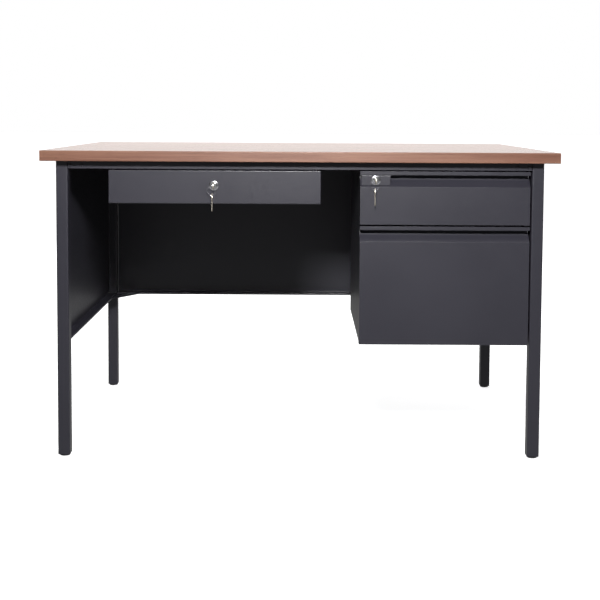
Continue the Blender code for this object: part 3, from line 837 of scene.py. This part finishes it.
def make_plug(prefix):
    node = prefix + "_lock_plug"
    x, y, z = JOINTS[prefix + "_lock_turn"]["pos_m"]
    low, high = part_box(node)
    front, back, radius = y - low.y, y - high.y, (high.x - low.x) / 2
    profile = [(0.0, front - 0.0003), (radius * 0.72, front), (radius, front - 0.0008)]
    profile += [(radius, back), (0.0, back)]
    bm = lathe(round_profile(profile, 0.0003), 48)
    bmesh.ops.transform(bm, matrix=placed((x, y, z), TO_FRONT), verts=bm.verts)
    slot = tool_from(cube((x - 0.0013, low.y - 0.001, z - 0.0035), (x + 0.0013, low.y + 0.0245, z + 0.0035)))
    mesh = bake(mesh_of(bm, node), node + "_turned", [cut_by(slot)])
    drop(slot)
    new_piece(node + "_turned", mesh, CHROME, "lock_chrome", prefix + "_lock", node)


def make_cam(prefix):
    """The cam: a flat arm with a round end, held on the plug by a nut."""
    node = prefix + "_lock_cam"
    x, _, z = JOINTS[prefix + "_lock_turn"]["pos_m"]
    low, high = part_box(node)
    half = (high.z - low.z) / 2
    outline = []
    for index in range(13):
        angle = QUARTER + math.pi * index / 12
        outline.append((low.x + half + half * math.cos(angle), z + half * math.sin(angle)))
    outline += [(high.x, low.z), (high.x, high.z)]
    bm = prism([(px, low.y, pz) for px, pz in outline], (0.0, high.y - low.y, 0.0))
    mesh = bake(mesh_of(bm, node), node + "_arm", [rounding(0.0003, 2, 60.0)])
    even_normals(new_piece(node + "_arm", mesh, ZINC, "zinc_slide", prefix + "_lock", node))
    nut = cylinder(0.0040, (x, high.y, z), (x, high.y + 0.0028, z), 6)
    mesh = bake(mesh_of(nut, "nut"), prefix + "_cam_nut", [rounding(0.0004, 2, 40.0)])
    even_normals(new_piece(prefix + "_cam_nut", mesh, ZINC, "zinc_slide", prefix + "_lock"))


KEY_BOW = 0.0090
KEY_HOLE = 0.0030
KEY_OFFSET = 0.0035
KEY_BLADE = 0.0240


def key_outline():
    """A cut key lying along +X with its hole at the origin."""
    half = 0.0032
    start = math.asin(half / KEY_BOW)
    count = 44
    bow = []
    for step in range(count + 1):
        angle = start + (2 * math.pi - 2 * start) * step / count
        bow.append((KEY_OFFSET + KEY_BOW * math.cos(angle), KEY_BOW * math.sin(angle)))
    tip = KEY_OFFSET + KEY_BOW + KEY_BLADE
    blade = [(tip - 0.0020, -half), (tip - 0.0004, -half + 0.0016), (tip, -half + 0.0026)]
    blade += [(tip - 0.0008, half - 0.0016), (tip - 0.0020, half - 0.0004)]
    depths = (0.0010, 0.0018, 0.0007, 0.0015)
    for step, depth in enumerate(depths):
        notch = tip - 0.0042 - step * 0.0036
        blade += [(notch + 0.0013, half), (notch + 0.0004, half - depth), (notch - 0.0004, half - depth)]
        blade.append((notch - 0.0013, half))
    return bow + blade


def key_shape(name):
    """The key's mesh in its own plane: bow with a raised rim and a hole, and a grooved blade."""
    half = 0.0010
    bm = prism([(x, y, -half) for x, y in key_outline()], (0.0, 0.0, 2 * half))
    tools = [tool_from(cylinder(KEY_HOLE, (0, 0, -0.01), (0, 0, 0.01), 28))]
    dish = KEY_BOW - 0.0016
    tip = KEY_OFFSET + KEY_BOW + KEY_BLADE
    groove_start = KEY_OFFSET + KEY_BOW - 0.0010
    for side in (-1, 1):
        near, far_level = side * (half - 0.00025), side * 0.01
        tools.append(tool_from(cylinder(dish, (KEY_OFFSET, 0, near), (KEY_OFFSET, 0, far_level), 44)))
        low = (groove_start, -0.0013 if side < 0 else 0.0000, min(near, far_level))
        high = (tip + 0.001, -0.0003 if side < 0 else 0.0010, max(near, far_level))
        tools.append(tool_from(cube(low, high)))
    steps = [cut_by(tool) for tool in tools] + [rounding(0.00018, 2, 50.0)]
    mesh = bake(mesh_of(bm, name), name, steps)
    drop(*tools)
    return mesh


def make_keys(prefix, shape):
    hole = Vector(JOINTS[prefix + "_ring_swing"]["pos_m"])
    mesh = shape.copy()
    mesh.transform(placed(hole, (QUARTER, 0.0, QUARTER)))
    node = prefix + "_key"
    even_normals(new_piece(node + "_cut", mesh, NICKEL, "key_nickel", prefix + "_lock", node))

    low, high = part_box(prefix + "_spare_key")
    place = Vector(((low.x + high.x) / 2, (low.y + high.y) / 2, high.z - KEY_BOW + KEY_OFFSET))
    mesh = shape.copy()
    mesh.transform(placed(place, (0.0, QUARTER, 0.0)))
    node = prefix + "_spare_key"
    even_normals(new_piece(node + "_cut", mesh, NICKEL, "key_nickel", prefix + "_spare", node))


def make_ring(prefix):
    """A split ring: two turns of wire that lie against each other."""
    node = prefix + "_key_ring"
    low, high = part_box(node)
    centre = (low + high) / 2
    wire = 0.00042
    radius = (high.x - low.x) / 2 - 0.0008
    curve = bpy.data.curves.new(node, "CURVE")
    curve.dimensions = "3D"
    curve.bevel_depth = wire
    curve.bevel_resolution = 3
    curve.use_fill_caps = True
    spline = curve.splines.new("POLY")
    turns, steps = 1.94, 120
    spline.points.add(steps)
    for index, point in enumerate(spline.points):
        share = index / steps
        angle = math.radians(-35.0) + turns * 2 * math.pi * share
        lift = (share * 2 - 1) * wire
        place = centre + Vector((radius * math.cos(angle), lift, radius * math.sin(angle)))
        point.co = (*place, 1.0)
    obj = bpy.data.objects.new("ring_draft", curve)
    bpy.context.scene.collection.objects.link(obj)
    graph = bpy.context.evaluated_depsgraph_get()
    mesh = bpy.data.meshes.new_from_object(obj.evaluated_get(graph))
    bpy.data.objects.remove(obj)
    mesh.name = node + "_wire"
    mesh.shade_smooth()
    new_piece(node + "_wire", mesh, CHROME, "lock_chrome", prefix + "_ring", node)


# The studio.

def stage_object(name, data, place=(0, 0, 0), turn=(0, 0, 0)):
    obj = bpy.data.objects.new(name, data)
    obj.location = place
    obj.rotation_euler = turn
    bpy.context.scene.collection.objects.link(obj)
    return obj


def make_floor():
    """The floor takes faint shadows, and is left out of bounced light and reflections. Its material also
    paints a soft shade under the desk, on top of the cast shadows.
    """
    bm = bmesh.new()
    bmesh.ops.create_grid(bm, x_segments=1, y_segments=1, size=40.0)
    mesh = mesh_of(bm, "floor")
    mesh.materials.append(FLOOR_WITH_PAINTED_SHADE)
    floor = stage_object("floor", mesh)
    floor.visible_diffuse = False
    floor.visible_glossy = False


def area_light(name, place, target, size, power):
    light = bpy.data.lights.new(name, "AREA")
    light.shape = "RECTANGLE"
    light.size, light.size_y = size
    light.energy = power
    aim = (Vector(target) - Vector(place)).to_track_quat("-Z", "Y").to_euler()
    return stage_object(name, light, place, aim)


SKY_BY_HEIGHT = [(0.0, 0.54), (0.38, 0.43), (0.45, 0.05), (0.50, 0.05), (0.65, 0.11), (1.0, 0.30)]
SKY_BEHIND = [(0.76, 0.0), (0.95, 1.58)]
SKY_HORIZON = [(0.44, 0.15), (0.495, 0.62), (0.503, 1.0)]


def grey_ramp(nodes, stops):
    ramp = nodes.new("ShaderNodeValToRGB")
    elements = ramp.color_ramp.elements
    while len(elements) < len(stops):
        elements.new(0.5)
    for element, (position, grey) in zip(elements, stops):
        element.position = position
        element.color = (grey, grey, grey, 1.0)
    return ramp


def mix_colours(nodes, blend="MIX", share=1.0):
    node = nodes.new("ShaderNodeMix")
    node.data_type = "RGBA"
    node.blend_type = blend
    node.inputs["Factor"].default_value = share
    return node


def make_sky():
    """A white backdrop for the camera, and a studio that is bright behind the desk and dim elsewhere."""
    world = bpy.data.worlds.new("studio")
    bpy.context.scene.world = world
    world.use_nodes = True
    nodes, links = world.node_tree.nodes, world.node_tree.links
    split = nodes.new("ShaderNodeSeparateXYZ")
    links.new(nodes.new("ShaderNodeTexCoord").outputs["Generated"], split.inputs["Vector"])
    height = nodes.new("ShaderNodeMapRange")
    height.inputs["From Min"].default_value = -1.0
    links.new(split.outputs["Z"], height.inputs["Value"])
    around, behind, above = (grey_ramp(nodes, stops) for stops in (SKY_BY_HEIGHT, SKY_BEHIND, SKY_HORIZON))
    links.new(height.outputs["Result"], around.inputs["Fac"])
    links.new(height.outputs["Result"], above.inputs["Fac"])
    links.new(split.outputs["Y"], behind.inputs["Fac"])
    backdrop = mix_colours(nodes, "MULTIPLY")
    links.new(behind.outputs["Color"], backdrop.inputs["A"])
    links.new(above.outputs["Color"], backdrop.inputs["B"])
    lit = mix_colours(nodes, "LIGHTEN")
    links.new(around.outputs["Color"], lit.inputs["A"])
    links.new(backdrop.outputs["Result"], lit.inputs["B"])
    seen = mix_colours(nodes)
    links.new(nodes.new("ShaderNodeLightPath").outputs["Is Camera Ray"], seen.inputs["Factor"])
    links.new(lit.outputs["Result"], seen.inputs["A"])
    seen.inputs["B"].default_value = (1.0, 1.0, 1.0, 1.0)
    links.new(seen.outputs["Result"], nodes["Background"].inputs["Color"])


def flag_off(light, *names):
    """Keep a light off some pieces, as a flag beside the lamp would, so that it doesn't glare there."""
    shaded = bpy.data.collections.new(light.name + "_flag")
    for name in names:
        shaded.objects.link(bpy.data.objects[name])
    for member in shaded.collection_objects:
        member.light_linking.link_state = "EXCLUDE"
    light.light_linking.receiver_collection = shaded


def make_lights():
    key = area_light("key", (0.0, -1.90, 1.43), (0.0, -0.3, 0.5), (0.40, 0.20), 74.0)
    flag_off(key, "desktop_laminate", "edge_band_left_trim", "edge_band_right_trim", "edge_band_rear_trim")
    area_light("overhead", (0.0, 0.3, 3.2), (0.0, 0.2, 0.0), (3.0, 2.4), 90.0)
    for name, side in (("left", -1), ("right", 1)):
        fill = area_light(name, (side * 3.2, 0.6, 1.5), (side * 0.5, 0.1, 0.4), (2.2, 1.6), 70.0)
        flag_off(fill, "desktop_laminate")
    rear = area_light("rear", (-1.1, 3.0, 2.0), (0.0, 0.3, 0.4), (1.5, 0.9), 90.0)
    rear.visible_glossy = False


def make_camera():
    """A shot from just above the top, tipped slightly down, with the frame shifted down to the desk."""
    camera = bpy.data.cameras.new("camera")
    camera.sensor_width = 36.0
    camera.lens = 63.02
    camera.shift_y = -0.20
    pitch, roll = -0.0624, -0.0056
    look = Matrix.Rotation(pitch, 4, "X") @ Matrix.Rotation(roll, 4, "Y")
    obj = stage_object("camera", camera)
    obj.matrix_world = Matrix.Translation((0.0, -2.8323, 0.8237)) @ look @ Matrix.Rotation(QUARTER, 4, "X")
    bpy.context.scene.camera = obj


def main():
    make_top()
    for place in ("front_left", "front_right", "rear_left", "rear_right"):
        make_leg("leg_" + place)
        make_leveler("leveler_" + place)
    make_rail()
    make_skirt()
    make_case()
    make_slides()
    make_hangers()

    center_x, _, center_z = JOINTS["center_lock_turn"]["pos_m"]
    box_x, _, box_z = JOINTS["box_lock_turn"]["pos_m"]
    make_front("center_drawer_front", "center_drawer", False, (center_x, center_z))
    make_front("box_drawer_front", "box_drawer", True, (box_x, box_z))
    make_front("file_drawer_front", "file_drawer", True)
    make_tray("center_drawer_tray", "center_drawer", (center_x, center_z))
    make_runners()
    make_tray("box_drawer_tray", "box_drawer")
    make_tray("file_drawer_tray", "file_drawer")
    make_lock_plate()

    shape = key_shape("key_shape")
    for prefix in ("center", "box"):
        make_barrel(prefix)
        make_plug(prefix)
        make_cam(prefix)
        make_keys(prefix, shape)
        make_ring(prefix)

    make_floor()
    make_sky()
    make_lights()
    make_camera()
    bpy.context.scene.view_settings.view_transform = "Standard"


main()
